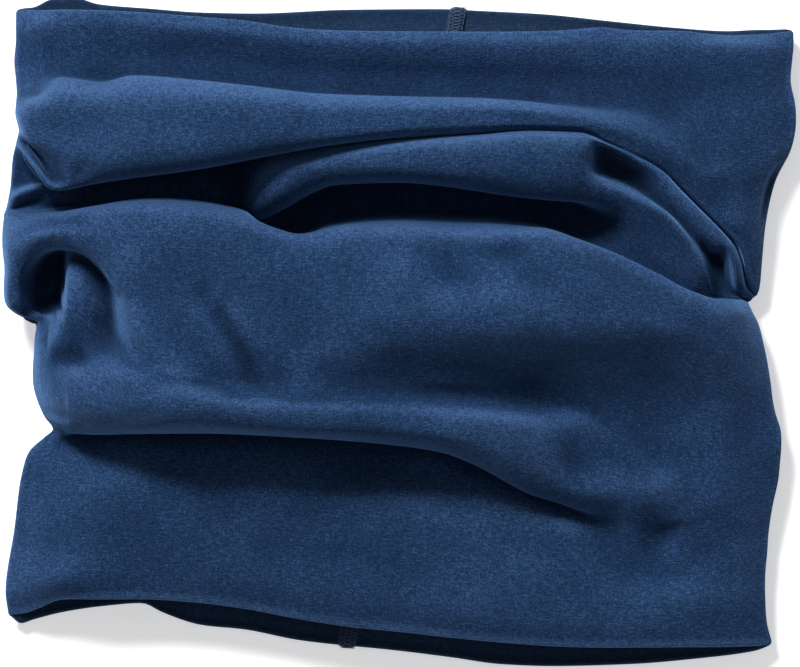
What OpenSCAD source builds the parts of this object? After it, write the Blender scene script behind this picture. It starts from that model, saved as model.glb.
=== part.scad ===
// Neck gaiter: a doubled tube of stretch velour that lies on its back,
// pushed together along its axis so that its front ply stands in soft folds.
// X runs across the tube, Y along its axis, Z up from the surface it lies on.

/* [Overall size] */
// Width of the tube as it lies flat
lying_w = 252; // [220:1:280]
// Length of the tube along its axis, pushed together
lying_l = 210; // [180:1:240]
// Height of the tallest fold
fold_h = 48; // [40:1:60]

/* [Cloth] */
// Thickness of the outer tube's velour
shell_t = 1.1; // [0.8:0.1:1.3]
// Thickness of the inner tube's velour
lining_t = 1.1; // [0.8:0.1:1.3]
// Room between the two tubes, where the seam allowances lie
ply_gap = 0.6; // [0.4:0.1:0.8]

/* [Seams] */
// Width of the flatlock seam that closes each tube
seam_w = 6; // [4:0.5:8]
// Height that the flatlock threads stand above the lining
seam_t = 0.5; // [0.3:0.1:0.8]
// Place of the back seam across the tube at the top rim
seam_top_x = 19; // [0:1:30]
// Place of the back seam across the tube at the bottom rim
seam_bottom_x = -18; // [-30:1:0]

/* [Care label] */
// Length of the folded label, away from the seam
label_l = 28; // [20:1:35]
// Width of the label along the seam
label_w = 16; // [12:1:20]
// Thickness of the label's tape
label_t = 0.3; // [0.2:0.1:0.4]
// Distance of the label from the middle of the tube, towards the bottom rim
label_y = 52; // [30:1:70]

/* [Smoothness] */
// Points across the front ply
front_n = 30; // [20:2:32]
// Points across the back ply
back_n = 16; // [12:2:20]
// Rings between two neighbouring fold lines
ring_steps = 2; // [1:1:2]

/* [Hidden] */

shell_colour = "#233C5F";
lining_colour = "#20375A";
thread_colour = "#1C3050";
label_colour = "#E6E4DE";

// The fold lines are drawn for these overall sizes and scaled to the ones above.
drawn_w = 252;
drawn_l = 210;
drawn_h = 48;
// Height of the tube's side bends above the surface it lies on
side_z = 5;

// Each fold line crosses the front ply from its left side to its right side
// as [x, y, z] points. They follow each other from the top rim down.
rim_top = [[-122, 101, 4], [-105, 101, 10], [-63, 100, 12], [-19, 95, 13], [44, 95, 13],
           [88, 95, 12], [112, 94, 8], [125, 95, 4]];
band_crest = [[-122, 96, 5], [-105, 95, 12], [-63, 94, 16], [0, 90, 17], [60, 91, 17],
              [100, 91, 14], [115, 90, 10], [125, 90, 5]];
band_hollow = [[-122, 86, 5], [-105, 86, 11], [-63, 86, 12], [0, 81, 12], [60, 80, 13],
               [88, 81, 14], [112, 82, 12], [125, 80, 5]];
upper_foot = [[-122, 79, 5], [-107, 81, 15], [-63, 81, 20], [0, 76, 20], [44, 74, 19],
              [69, 71, 18], [88, 68, 17], [112, 72, 12], [126, 72, 5]];
upper_crest = [[-121, 73, 5], [-107, 80, 24], [-85, 81, 33], [-30, 77, 37], [0, 75, 36],
               [44, 72, 32], [69, 67, 27], [94, 56, 19], [110, 58, 14], [126, 66, 5]];
upper_face = [[-122, 68, 5], [-107, 65, 28], [-63, 66, 41], [0, 69, 40], [44, 68, 34],
              [69, 64, 28], [88, 54, 22], [105, 48, 16], [125, 58, 5]];
upper_lip = [[-120, 63, 5], [-108, 48, 20], [-85, 48, 31], [-63, 51, 34], [-30, 58, 34],
             [0, 61, 32], [44, 63, 27], [69, 61, 25], [83, 52, 21], [94, 41, 17], [105, 36, 13],
             [116, 45, 5]];
upper_tuck = [[-123, 56, 5], [-108, 51, 12], [-85, 54, 16], [-63, 56, 17], [-30, 61, 20],
              [0, 62, 22], [44, 62, 22], [69, 59, 20], [83, 50, 17], [94, 39, 14], [105, 32, 12],
              [115, 37, 5]];
roll_crest = [[-124, 48, 5], [-107, 45, 12], [-85, 46, 13], [-60, 46, 14], [-46, 44, 17],
              [-30, 57, 29], [0, 60, 33], [44, 63, 34], [63, 62, 32], [79, 53, 27], [91, 42, 21],
              [104, 27, 15], [115, 28, 5]];
roll_lip = [[-124, 44, 5], [-107, 42, 13], [-60, 43, 13], [-42, 39, 15], [-30, 43, 24],
            [0, 48, 28], [44, 46, 28], [69, 45, 27], [79, 41, 25], [94, 29, 20], [104, 18, 14],
            [114, 20, 5]];
valley = [[-125, 42, 5], [-107, 40, 14], [-60, 40, 14], [-46, 37, 13], [-32, 34, 13],
          [0, 41, 13], [44, 39, 13], [69, 36, 13], [79, 32, 13], [94, 20, 13], [104, 14, 11],
          [113, 14, 5]];
broad_crest = [[-126, 37, 6], [-107, 39, 25], [-82, 41, 34], [-46, 36, 36], [-32, 32, 34],
               [-19, 35, 37], [0, 35, 38], [44, 33, 37], [63, 27, 33], [79, 19, 28], [94, 12, 22],
               [105, 11, 14], [112, 10, 5]];
broad_face = [[-126, 28, 6], [-107, 28, 32], [-63, 24, 45], [0, 21, 48], [44, 17, 45],
              [79, 8, 35], [105, 4, 19], [114, 4, 5]];
broad_low = [[-124, 11, 6], [-105, 10, 28], [-63, 6, 41], [0, 4, 43], [44, 2, 40],
             [79, -4, 32], [105, -6, 19], [117, -6, 5]];
broad_hollow = [[-116, 0, 6], [-100, -1, 25], [-63, -8, 32], [0, -11, 28], [44, -13, 24],
                [79, -15, 23], [105, -16, 17], [118, -17, 5]];
lower_crest = [[-116, -9, 6], [-88, -7, 32], [-70, -16, 36], [-50, -20, 37], [0, -21, 37],
               [40, -25, 35], [60, -29, 30], [82, -31, 24], [105, -31, 18], [121, -31, 5]];
lower_face = [[-115, -22, 6], [-95, -23, 30], [-50, -27, 39], [0, -28, 38], [40, -34, 34],
              [60, -40, 28], [85, -45, 21], [105, -45, 17], [120, -44, 5]];
lower_lip = [[-109, -30, 6], [-95, -31, 21], [-63, -31, 29], [-32, -32, 30], [0, -34, 29],
             [25, -42, 26], [40, -49, 22], [63, -56, 17], [80, -58, 15], [105, -58, 13],
             [118, -57, 5]];
lower_tuck = [[-112, -34, 5], [-95, -30, 12], [-63, -27, 14], [-32, -28, 14], [0, -31, 14],
              [25, -39, 14], [40, -47, 14], [63, -59, 14], [80, -63, 13], [105, -64, 12],
              [117, -64, 5]];
low_band = [[-117, -42, 5], [-100, -42, 13], [-63, -46, 14], [0, -50, 14], [40, -59, 14],
            [80, -70, 14], [105, -72, 12], [116, -74, 5]];
low_mid = [[-122, -64, 5], [-100, -65, 13], [-50, -69, 15], [0, -73, 15], [60, -82, 15],
           [105, -84, 12], [116, -84, 5]];
rim_bottom = [[-124, -88, 4], [-107, -83, 9], [-82, -83, 11], [-50, -86, 12], [0, -93, 12],
              [44, -98, 12], [90, -98, 11], [108, -98, 8], [118, -97, 4]];
FOLDS = [rim_top, band_crest, band_hollow, upper_foot, upper_crest, upper_face, upper_lip,
         upper_tuck, roll_crest, roll_lip, valley, broad_crest, broad_face, broad_low,
         broad_hollow, lower_crest, lower_face, lower_lip, lower_tuck, low_band, low_mid,
         rim_bottom];

// Rims of the back ply, as [x, y] points from left to right
back_top = [[-122, 101], [-108, 105], [-98, 104], [-79, 102], [-46, 100], [12, 102], [45, 100],
            [68, 98], [88, 95], [104, 94], [125, 95]];
back_bottom = [[-124, -88], [-107, -87], [-82, -84], [-63, -91], [-32, -96], [0, -99],
               [32, -103], [48, -105], [72, -104], [96, -102], [118, -97]];
// Number of rings over which a back rim's wave dies out
rim_rings = 8;
// Ends of the back seams along Y. The shell's stops at the rim seams, the lining's
// just inside the rims.
shell_seam_y = [-84, 84];
lining_seam_y = [-90, 94];

// The two tubes lie in each other, so each is a pair of depths below the outer skin.
lining_out = shell_t + ply_gap;
lining_in = lining_out + lining_t;

function mix(a, b, t) = a + (b - a) * t;

// Index of the stretch of a fold line that holds x
function stretch(line, x, i = 0) =
    (i >= len(line) - 2 || x < line[i + 1][0]) ? i : stretch(line, x, i + 1);

// Slope of a fold line at its point k, per millimetre of x
function slope(line, k) =
    let (a = line[max(k - 1, 0)], b = line[min(k + 1, len(line) - 1)])
    (b - a) / (b[0] - a[0]);

// Point of a smooth curve through the fold line's points at x
function along(line, x) =
    let (i = stretch(line, x), p = line[i], q = line[i + 1])
    let (w = q[0] - p[0], t = (x - p[0]) / w, t2 = t * t, t3 = t2 * t)
    p * (2 * t3 - 3 * t2 + 1) + slope(line, i) * w * (t3 - 2 * t2 + t)
    + q * (3 * t2 - 2 * t3) + slope(line, i + 1) * w * (t3 - t2);

// Share of the way across, with the points closer together at the sides
function across(s) = mix(s, (1 - cos(180 * s)) / 2, 0.75);

// Point of a fold line at share s of the way from its left end to its right end
function fold_point(line, s) =
    along(line, mix(line[0][0], line[len(line) - 1][0], across(s)));

// Point between fold lines: v counts the lines from the top rim down
function front_point(s, v) =
    let (last = len(FOLDS) - 1, i = min(floor(v), last - 1), t = v - i)
    let (a = fold_point(FOLDS[max(i - 1, 0)], s), b = fold_point(FOLDS[i], s))
    let (c = fold_point(FOLDS[i + 1], s), d = fold_point(FOLDS[min(i + 2, last)], s))
    let (ab = max(norm(b - a), 1), bc = max(norm(c - b), 1), cd = max(norm(d - c), 1))
    let (mb = (c - a) / (ab + bc) * bc, mc = (d - b) / (bc + cd) * bc)
    let (t2 = t * t, t3 = t2 * t)
    b * (2 * t3 - 3 * t2 + 1) + mb * (t3 - 2 * t2 + t) + c * (3 * t2 - 2 * t3) + mc * (t3 - t2);

// How far a back rim strays at share s from the straight line between its ends
function rim_wave(rim, s) =
    let (first = rim[0], last = rim[len(rim) - 1])
    along(rim, mix(first[0], last[0], across(s)))[1] - mix(first[1], last[1], s);

// Point of the back ply at share s from left to right, under ring r of all the rings
function back_point(s, r, rings) =
    let (v = r / ring_steps, left = front_point(0, v), right = front_point(1, v))
    let (top = max(1 - r / rim_rings, 0), low = max(1 - (rings - 1 - r) / rim_rings, 0))
    let (y = mix(left[1], right[1], s) + top * rim_wave(back_top, s)
             + low * rim_wave(back_bottom, s))
    [mix(left[0], right[0], across(s)), y, 0];

rings = (len(FOLDS) - 1) * ring_steps + 1;
ring_n = front_n + back_n;
scale_to = [lying_w / drawn_w, lying_l / drawn_l, fold_h / drawn_h];
function scaled(p) = [p[0] * scale_to[0], p[1] * scale_to[1], p[2] * scale_to[2]];

// Outer skin: one closed ring of points for each step along the tube
skin = [for (r = [0:rings - 1]) [
    for (j = [0:front_n - 1]) scaled(front_point(j / (front_n - 1), r / ring_steps)),
    for (j = [1:back_n]) scaled(back_point(1 - j / (back_n + 1), r, rings))]];

// Unit normal of the skin, out of the tube
function skin_normal(r, j) =
    let (a = skin[max(r - 1, 0)][j], b = skin[min(r + 1, rings - 1)][j])
    let (c = skin[r][(j + ring_n - 1) % ring_n], d = skin[r][(j + 1) % ring_n])
    let (n = cross(a - b, d - c))
    -n / norm(n);
normals = [for (r = [0:rings - 1]) [for (j = [0:ring_n - 1]) skin_normal(r, j)]];

// Ring r of the skin, moved in by a depth
function ring_at(r, depth) = [for (j = [0:ring_n - 1]) skin[r][j] - normals[r][j] * depth];

// Two triangles for each quad between rings of n points, from point a to point b
function quads(a, b, n) = [for (j = [0:n - 1]) let (k = (j + 1) % n)
    each [[a + j, a + k, b + k], [a + j, b + k, b + j]]];

// Cloth between two depths below the skin, from one ring to another
module cloth(first, last, out, inn) {
    count = last - first + 1;
    inner = count * ring_n;
    points = [for (r = [first:last]) each ring_at(r, out),
              for (r = [first:last]) each ring_at(r, inn)];
    outer_faces = [for (i = [0:count - 2]) each quads(i * ring_n, (i + 1) * ring_n, ring_n)];
    inner_faces = [for (i = [0:count - 2])
        each quads(inner + (i + 1) * ring_n, inner + i * ring_n, ring_n)];
    top_faces = quads(inner, 0, ring_n);
    low_faces = quads((count - 1) * ring_n, inner + (count - 1) * ring_n, ring_n);
    polyhedron(points, concat(outer_faces, inner_faces, top_faces, low_faces));
}

// The back seam leans across the tube, because the two rims are turned against each other.
function seam_x(y) = mix(seam_bottom_x, seam_top_x, y / lying_l + 0.5);
seam_lean = atan((seam_top_x - seam_bottom_x) / lying_l);

// Flat strip along the back seam between two places [low, high] and two heights
module seam_strip(ends, z_low, z_high) {
    half = seam_w / 2;
    low = ends[0] * scale_to[1];
    high = ends[1] * scale_to[1];
    translate([0, 0, z_low])
        linear_extrude(z_high - z_low)
            polygon([[seam_x(low) - half, low], [seam_x(low) + half, low],
                     [seam_x(high) + half, high], [seam_x(high) - half, high]]);
}

module shell_tube() {
    color(shell_colour)
        cloth(0, rings - 1, 0, shell_t);
}

module lining_tube() {
    color(lining_colour)
        cloth(0, rings - 1, lining_out, lining_in);
}

module top_rim_seam() {
    color(thread_colour)
        cloth(0, 1, shell_t, lining_out);
}

module bottom_rim_seam() {
    color(thread_colour)
        cloth(rings - 2, rings - 1, shell_t, lining_out);
}

module shell_back_seam() {
    color(thread_colour)
        seam_strip(shell_seam_y, shell_t, lining_out);
}

module lining_back_seam() {
    color(thread_colour)
        seam_strip(lining_seam_y, lining_in, lining_in + seam_t);
}

module care_label() {
    color(label_colour)
        translate([seam_x(-label_y), -label_y, lining_in])
            rotate(-seam_lean)
                translate([seam_w / 2 * cos(seam_lean), 0, 0])
                    cube([label_l, label_w, 2 * label_t]);
}

shell_tube();
lining_tube();
shell_back_seam();
lining_back_seam();
top_rim_seam();
bottom_rim_seam();
care_label();
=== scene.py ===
import math

import bpy
import numpy as np
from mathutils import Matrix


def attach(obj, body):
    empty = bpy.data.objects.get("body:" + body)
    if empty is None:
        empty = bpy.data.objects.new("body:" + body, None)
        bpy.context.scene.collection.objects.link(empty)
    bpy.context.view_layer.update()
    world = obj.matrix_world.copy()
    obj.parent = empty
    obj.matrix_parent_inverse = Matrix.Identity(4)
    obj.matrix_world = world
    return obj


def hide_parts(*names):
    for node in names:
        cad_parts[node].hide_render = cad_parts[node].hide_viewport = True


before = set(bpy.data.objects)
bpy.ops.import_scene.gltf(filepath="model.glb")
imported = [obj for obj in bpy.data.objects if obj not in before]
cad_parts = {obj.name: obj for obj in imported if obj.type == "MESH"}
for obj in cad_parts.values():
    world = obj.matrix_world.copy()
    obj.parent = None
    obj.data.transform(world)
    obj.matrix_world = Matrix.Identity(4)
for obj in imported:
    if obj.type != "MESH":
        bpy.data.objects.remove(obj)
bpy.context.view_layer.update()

# ---------------------------------------------------------------- sizes, mm
MM = 0.001
SHELL_T = 1.1                  # thickness of the outer tube's cloth
PLY_GAP = 0.6                  # room between the tubes, where the seam allowances lie
LINING_T = 1.1
LINING_OUT = SHELL_T + PLY_GAP             # depth of the lining's outer face below the skin
LINING_IN = LINING_OUT + LINING_T          # and of its inner face
RIM_R = LINING_IN / 2          # roundness of a rim's folded edge
HALF_W = 126.0                 # half the width of the tube as it lies
LYING_L = 210                  # its length as it lies, pushed together
SEAM_W = 6.0
SEAM_TOP_X, SEAM_BOTTOM_X = 19.0, -18.0    # place of the back seam across each rim
STITCH = 2.0                   # length of a flatlock stitch
NEEDLES = 2.2                  # distance of its two rows from the middle of the seam
OVERLOCK = 2.4                 # distance between an overlock's stitches
THREAD_R = 0.14
LABEL_L, LABEL_W, LABEL_T = 28.0, 16.0, 0.3
LABEL_Y = -52.0                # place of the label along the tube
LABEL_LIFT = 0.15              # gap between the label and the lining
NOSE = 5                       # rings round half of a rim's edge
WRAP = NOSE + 4                # rings of the shell that the lining's seam laps over at a rim
RIM_SEAM = 6                   # rings that a rim's seam allowance reaches down from the rim
N_BACK = 150                   # points across the back ply
RING_STEP = 1.5                # distance between rings, on most of the cloth

# ---------------------------------------------------------------- fold lines
# Each line crosses the front ply from its left side to its right side as (x, y, z)
# points in millimetres, and they follow each other from the top rim down.
FOLDS = {
    "rim_top": [(-122, 101.5, 5), (-115, 102, 8), (-105, 101.5, 12.2), (-86, 101, 13.3),
        (-63, 99.5, 13.5), (-50, 98.3, 14), (-34, 96, 14.5), (-18, 95, 15), (0, 94.8, 15), (32, 94.8, 15),
        (50, 95.2, 14.5), (64, 96, 14.8), (72, 95.3, 14.6), (88, 95, 14.3), (104, 94.2, 11.4),
        (114, 94.5, 8.8), (125, 95, 4.5)],
    "band_crest": [(-122, 97, 6), (-112, 98.8, 11.9), (-95, 98.8, 13.6), (-63, 96.8, 15),
        (-34, 93.6, 15.6), (0, 92.6, 16.1), (40, 92.6, 16.3), (70, 92.8, 16.2), (95, 92.2, 15.4),
        (112, 91.5, 13), (125, 91, 5.5)],
    "band_slope": [(-122, 92.5, 6), (-112, 93.5, 11.2), (-95, 93, 12.7), (-63, 91.2, 12.9), (-34, 89, 14),
        (0, 87.6, 14.5), (40, 87.2, 15), (70, 87.3, 15.9), (95, 87, 15.2), (112, 86.5, 13),
        (124.5, 86, 5.5)],
    "band_hollow": [(-122.5, 86, 7), (-112, 87.5, 11), (-95, 87.5, 12), (-63, 86.3, 12), (-34, 83.8, 12),
        (0, 82.3, 12), (40, 81.2, 12.5), (70, 80, 14.9), (95, 79, 15), (112, 79, 13), (124, 80, 7)],
    "upper_foot": [(-122, 81.5, 9), (-116, 81, 13), (-112, 81.4, 14), (-107, 82, 14), (-94, 81.2, 13),
        (-84, 82.8, 13), (-63, 81, 13), (-44, 79.1, 13), (-25, 76.8, 13), (0, 75.7, 13), (24, 75.4, 13),
        (40, 74.4, 13), (56, 72.5, 18), (72, 71, 18), (88, 67.5, 17.5), (106, 69, 15), (117, 71, 12),
        (125.5, 72, 8)],
    "upper_crest": [(-121.5, 76.5, 12), (-118, 75.5, 17), (-115, 75.5, 20), (-111, 78, 24),
        (-107, 79.8, 29.3), (-94, 78.2, 33.3), (-84, 80, 35.2), (-63, 78.7, 36.9), (-44, 76.7, 37.1),
        (-25, 74.6, 36.5), (0, 73.9, 35), (24, 73.5, 33), (40, 72.4, 31.5), (56, 70.2, 29),
        (64, 68.5, 27), (72, 66.8, 25), (80, 63.6, 23.5), (88, 59.5, 21.5), (97, 53.5, 19), (106, 57, 16),
        (117, 62, 12), (125.5, 64.5, 8)],
    "upper_rise": [(-121.5, 73, 17), (-119.5, 72.3, 23), (-116, 72.5, 29.5), (-110, 74, 33.5),
        (-104, 75.5, 35.2), (-94, 75.5, 37.1), (-84, 76.5, 38.7), (-63, 75.5, 41), (-44, 74, 41.2),
        (-25, 71.8, 40.3), (0, 71.2, 39), (24, 71, 37), (40, 70, 35), (56, 68.2, 32), (64, 66.6, 29.5),
        (72, 64.8, 27), (80, 61.5, 25), (88, 57, 22.5), (98, 50.5, 19.5), (107, 52, 16), (117, 55, 12),
        (124, 58, 8)],
    "upper_face": [(-121.7, 69.3, 18), (-120, 68.6, 26), (-117, 67.8, 30.5), (-107, 67, 34.4),
        (-94, 67.5, 38.2), (-78, 68, 41.2), (-63, 68.5, 42.5), (-44, 68.5, 42.7), (-25, 67.5, 41.5),
        (0, 68, 39.8), (24, 68.6, 37.5), (40, 68, 35), (56, 66.5, 32.5), (64, 64.8, 30), (72, 62.5, 27.5),
        (80, 58.5, 25), (88, 53, 22), (98, 46.5, 18.5), (107, 47, 15.5), (114, 47.5, 12),
        (115.5, 47.6, 11.3), (116.4, 47.8, 6.5), (119.5, 49, 5)],
    "upper_low": [(-120.6, 64.5, 18), (-119.2, 62.8, 25), (-116, 60.5, 30), (-107, 56.7, 33.7),
        (-94, 55, 38.6), (-78, 56, 41.2), (-63, 57, 42.2), (-44, 59.6, 42), (-25, 61, 41.3),
        (0, 63.8, 39.3), (24, 65, 37.2), (40, 65.5, 34.8), (56, 65, 32.4), (66, 62, 28.3),
        (74, 58.5, 25.8), (83, 53.6, 22.6), (88, 49.6, 20.6), (94, 43.8, 18.5), (101, 37.3, 16.5),
        (107, 32.5, 15), (112.3, 31.6, 12), (115.9, 33.5, 7)],
    "upper_groove": [(-120.9, 62.8, 16), (-118.8, 60.9, 19), (-116, 58.2, 21.8), (-113.2, 55, 23.3),
        (-110.8, 51.9, 24.8), (-108.3, 49.6, 27.2), (-104.5, 48.6, 31), (-100, 51.6, 33.7),
        (-95, 51, 36.4), (-78, 52.5, 39.3), (-63, 54, 40.5), (-44, 57.2, 40.4), (-25, 59.7, 39.8),
        (0, 62.7, 38), (24, 64, 36), (40, 64.8, 33.9), (56, 64.5, 31.8), (66, 61.2, 28), (74, 57.8, 25.6),
        (83, 53, 22.3), (88, 48.5, 20.2), (94, 42.7, 18.3), (101, 36, 16.4), (108.8, 29, 13),
        (112, 21.5, 9), (114.9, 22.5, 6.5)],
    "upper_lip": [(-121.5, 60.6, 15), (-120, 58.8, 24.2), (-117.8, 56.1, 28.8), (-115.4, 53, 30.8),
        (-113.2, 50.1, 31.2), (-111.2, 47.4, 30.6), (-108, 45.8, 29.8), (-95, 47.4, 31.8),
        (-79, 49.5, 34.5), (-63, 51.6, 36), (-41, 55.7, 36.2), (-25, 58.6, 36.5), (-12, 60.3, 35.3),
        (0, 61.6, 34.2), (12, 62.4, 33.3), (24, 63.1, 33), (40, 64.2, 32.2), (56, 63.9, 30.8),
        (66, 60.4, 27.6), (74, 57, 25.2), (83, 52.3, 21.7), (88, 47.5, 19.5), (93, 42.6, 18.2),
        (98, 37.6, 17), (103.2, 32.6, 15.5), (107.5, 27.6, 13.8), (109.2, 22.2, 11.5), (110.2, 16, 8.5),
        (113.4, 12.1, 5.5)],
    "upper_strip": [(-121.9, 59.8, 9.5), (-120.3, 57.2, 9), (-118.2, 54.2, 8.7), (-115.8, 51, 8.5),
        (-113.4, 48.3, 9.5), (-110.8, 47, 12.5), (-107, 46.3, 17), (-95, 49, 21.5), (-79, 52, 23),
        (-63, 54.3, 24), (-41, 58, 26), (-25, 59.7, 27.5), (-12, 60.8, 29), (0, 61.5, 30.5),
        (12, 62.3, 30.5), (24, 63, 30.5), (40, 64.1, 30.2), (56, 63.6, 30), (66, 60.1, 27.2),
        (74, 56.7, 24.9), (83, 51.9, 20.3), (88, 47, 17), (93, 42.1, 15.3), (98, 37.1, 14),
        (103, 32.1, 12.5), (107, 27.2, 10.8), (108.8, 22, 9), (109.9, 15.8, 7), (112.9, 11.8, 5.3)],
    "upper_tuck": [(-122.9, 56, 7.5), (-121.4, 53.4, 7), (-119, 51, 6.8), (-116, 49.6, 7),
        (-112.5, 48.6, 8), (-107, 47.5, 11), (-95, 52, 12.5), (-79, 55.5, 13), (-63, 57, 14),
        (-41, 59.5, 18), (-25, 60.2, 22), (-12, 60.6, 26), (0, 61.2, 28.5), (12, 62, 28.5),
        (24, 62.8, 29), (40, 63.9, 29.2), (56, 63.4, 29.8), (66, 59.8, 27), (74, 56.4, 24.6),
        (83, 51.5, 18.7), (88, 46.5, 14.5), (93, 41.5, 13), (98, 36.5, 12), (102.8, 31.6, 10.8),
        (106.6, 26.8, 9.3), (108.5, 21.8, 7.8), (109.6, 15.6, 6), (112.6, 11.5, 5)],
    "roll_rise": [(-123.6, 46.8, 8), (-122.2, 46.9, 8.2), (-120, 47.3, 8), (-116, 48, 7.8),
        (-112.3, 48, 8.5), (-109, 47.4, 10), (-104, 46.8, 10.5), (-95, 46.5, 11), (-79, 47.5, 11),
        (-63, 47.5, 11.5), (-54, 46.5, 12), (-50, 46, 14), (-47.5, 47, 18.5), (-44, 50.6, 23.5),
        (-39, 54.3, 27), (-32, 56.4, 29), (-22, 58.1, 30.5), (-10, 59.6, 32), (0, 60.6, 33.2),
        (12, 61.6, 34.2), (24, 62.3, 34.8), (40, 63.4, 34.8), (56, 62.9, 33.4), (66, 59.4, 27.8),
        (74, 55.9, 25.1), (83, 50.8, 21.3), (88, 45.6, 19.7), (93, 40.2, 19.2), (98, 35.3, 18),
        (102.5, 30.7, 16.7), (106.2, 26, 15.3), (108, 21.3, 13.3), (109.2, 15.4, 9.5),
        (112.2, 11.3, 5.5)],
    "roll_crest": [(-124.2, 42.6, 10.5), (-122.4, 43.3, 16), (-120, 44.7, 18.2), (-116.2, 46, 18.4),
        (-112.5, 46.7, 16.3), (-109, 46.4, 15), (-104, 46, 12.8), (-95, 45.3, 11), (-79, 46.3, 11),
        (-63, 46.3, 11.5), (-55, 44.8, 12.3), (-50, 44.2, 14.5), (-47.5, 44.6, 19), (-45, 47.6, 24),
        (-41, 51.6, 28.5), (-35, 54.2, 31.5), (-27, 55.5, 33.5), (-18, 56.8, 35.6), (0, 58.9, 37.4),
        (12, 60, 38.1), (24, 61, 38.2), (40, 62, 37.5), (54, 61.8, 36.2), (60, 61, 33.5), (66, 59, 29.3),
        (72, 56.2, 26.7), (77, 53.4, 25), (83, 48.9, 22.9), (88, 43.6, 21.8), (94, 37.2, 20),
        (98, 33, 18.6), (101.5, 29.6, 17.5), (104.5, 25.5, 16.3), (106.5, 21, 15), (107.8, 17, 12.5),
        (109, 13.2, 9), (112, 11.1, 5.5)],
    "pocket_edge": [(-124.8, 40.2, 8.5), (-122.6, 40.8, 14.6), (-120, 42.2, 16), (-116, 43.4, 16.2),
        (-112, 44.3, 14.8), (-108, 44.6, 14.4), (-95, 42.8, 11), (-63, 43, 11.5), (-55, 42.5, 12.3),
        (-50, 41.6, 15), (-47.7, 42.3, 20.5), (-45, 44.6, 25), (-40.5, 48.6, 29.5), (-34, 51.3, 33.3),
        (-22, 53.6, 35.8), (0, 55.3, 37.4), (22, 56.2, 38.2), (45, 57.5, 37.7), (54, 58.3, 36.9),
        (59.2, 57.9, 34.4), (61.8, 57.6, 26.5), (64.5, 56.9, 22.5), (69, 54.6, 20.7), (74, 51.7, 19.5),
        (79, 48.6, 20.7), (84, 43.6, 21.9), (89, 38.4, 21), (93.3, 33.9, 19.6), (96.3, 30.3, 18),
        (98.6, 27.4, 16.2), (100.3, 27.3, 16.8), (102.3, 26.6, 15.8), (103.6, 24.5, 14),
        (104.6, 21.5, 13.3), (105.5, 17.5, 12), (106.6, 14, 9.5), (108.3, 11.9, 6.8), (111.8, 10.9, 5.3)],
    "pocket_floor": [(-125.1, 39.4, 7.5), (-122.6, 39.3, 12.5), (-119.5, 40.2, 13.4), (-115, 41.2, 13.6),
        (-108, 42.4, 14.2), (-95, 41.6, 11), (-63, 41.8, 11.5), (-55, 40.8, 12.2), (-50, 39.8, 14.5),
        (-47.5, 39.8, 20), (-44, 41.6, 25.6), (-38, 45.3, 30.8), (-29, 49, 33.3), (-14, 51.8, 35.9),
        (0, 52.6, 37.1), (22, 53, 37.8), (45, 53.8, 37.4), (54, 54.5, 36.4), (59.4, 53.6, 32.3),
        (62, 52.6, 22), (65.5, 51.1, 17.8), (70, 48.9, 16.6), (75, 46, 16.3), (80, 42.4, 17.6),
        (85, 38.3, 19.3), (89.3, 34, 18.6), (93, 29.9, 16.8), (95.8, 26.3, 12.5), (97.6, 25, 8),
        (99, 24.6, 6.8), (100.9, 24.6, 6.8), (102.1, 22.5, 6.8), (102.8, 19, 6.8), (103.3, 15.6, 6.3),
        (105.2, 13.2, 5.9), (108, 11.8, 5.3), (111.7, 10.7, 5.2)],
    "roll_low": [(-125, 39.3, 8.3), (-121, 38.8, 14.3), (-118, 39.2, 15), (-110, 39.9, 13), (-95, 41, 11),
        (-63, 41, 11.5), (-55, 39.6, 12), (-50, 38.2, 13), (-46.5, 37.8, 18.5), (-42.5, 38.8, 23.3),
        (-37, 41.5, 27.5), (-30, 45, 29.5), (-20, 48.6, 32.5), (0, 49.8, 35), (22, 49.5, 36.4),
        (45, 49.2, 36.2), (54, 49.8, 35.2), (60, 48.8, 32), (66.5, 46.3, 28.8), (73, 43.5, 27.3),
        (78, 41, 26.1), (82, 38.6, 25), (85.5, 36.2, 24), (88.3, 33, 22.8), (90.8, 29.6, 21.6),
        (93.1, 26.1, 20.3), (95.2, 23, 19), (96.7, 19.4, 17.3), (97.6, 16.3, 15.3), (98.1, 13.9, 12.8),
        (100, 12.5, 8), (103, 11.8, 6.3), (107.5, 11.2, 5.7), (111.5, 10.5, 5.1)],
    "roll_lip": [(-125.3, 38.7, 8.6), (-121, 38.2, 14.8), (-118, 38.5, 16), (-110, 39.3, 14.6),
        (-95, 40.5, 11), (-63, 40, 11.5), (-55, 38.6, 11.8), (-51, 37, 12), (-46.2, 36.3, 15),
        (-41.5, 37.2, 18), (-35.5, 40, 21.5), (-28.5, 44, 23.5), (-20, 46.8, 26), (0, 47.5, 28.3),
        (12, 46.6, 29.3), (22, 45.3, 30), (31, 44, 30.3), (40, 42.9, 30.3), (50, 42.2, 29.8),
        (60, 42, 28), (68, 41, 26), (76, 37.8, 24.8), (82, 34.8, 23.3), (87, 30, 22), (91, 25, 20.6),
        (93.9, 20.1, 18.8), (95.8, 16, 16.3), (97, 13.4, 13.3), (99.2, 12, 8.5), (102.6, 11.4, 6.3),
        (107.3, 10.8, 5.5), (111.3, 10.3, 5)],
    "roll_tuck": [(-125.5, 38.2, 9.2), (-121, 37.8, 15.6), (-118, 38, 17.2), (-110, 38.7, 16),
        (-95, 40, 11), (-63, 39.3, 11.5), (-55, 37.6, 11.8), (-50, 35.8, 11.8), (-44, 35.8, 12),
        (-35, 39.6, 12.3), (-27, 44, 13), (-20, 46.9, 13.5), (0, 47.8, 14), (12, 47.2, 14),
        (22, 46, 13.8), (31, 44.6, 13.6), (44, 42.9, 13.5), (56, 40.3, 14), (64, 36.5, 16.5),
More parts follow.
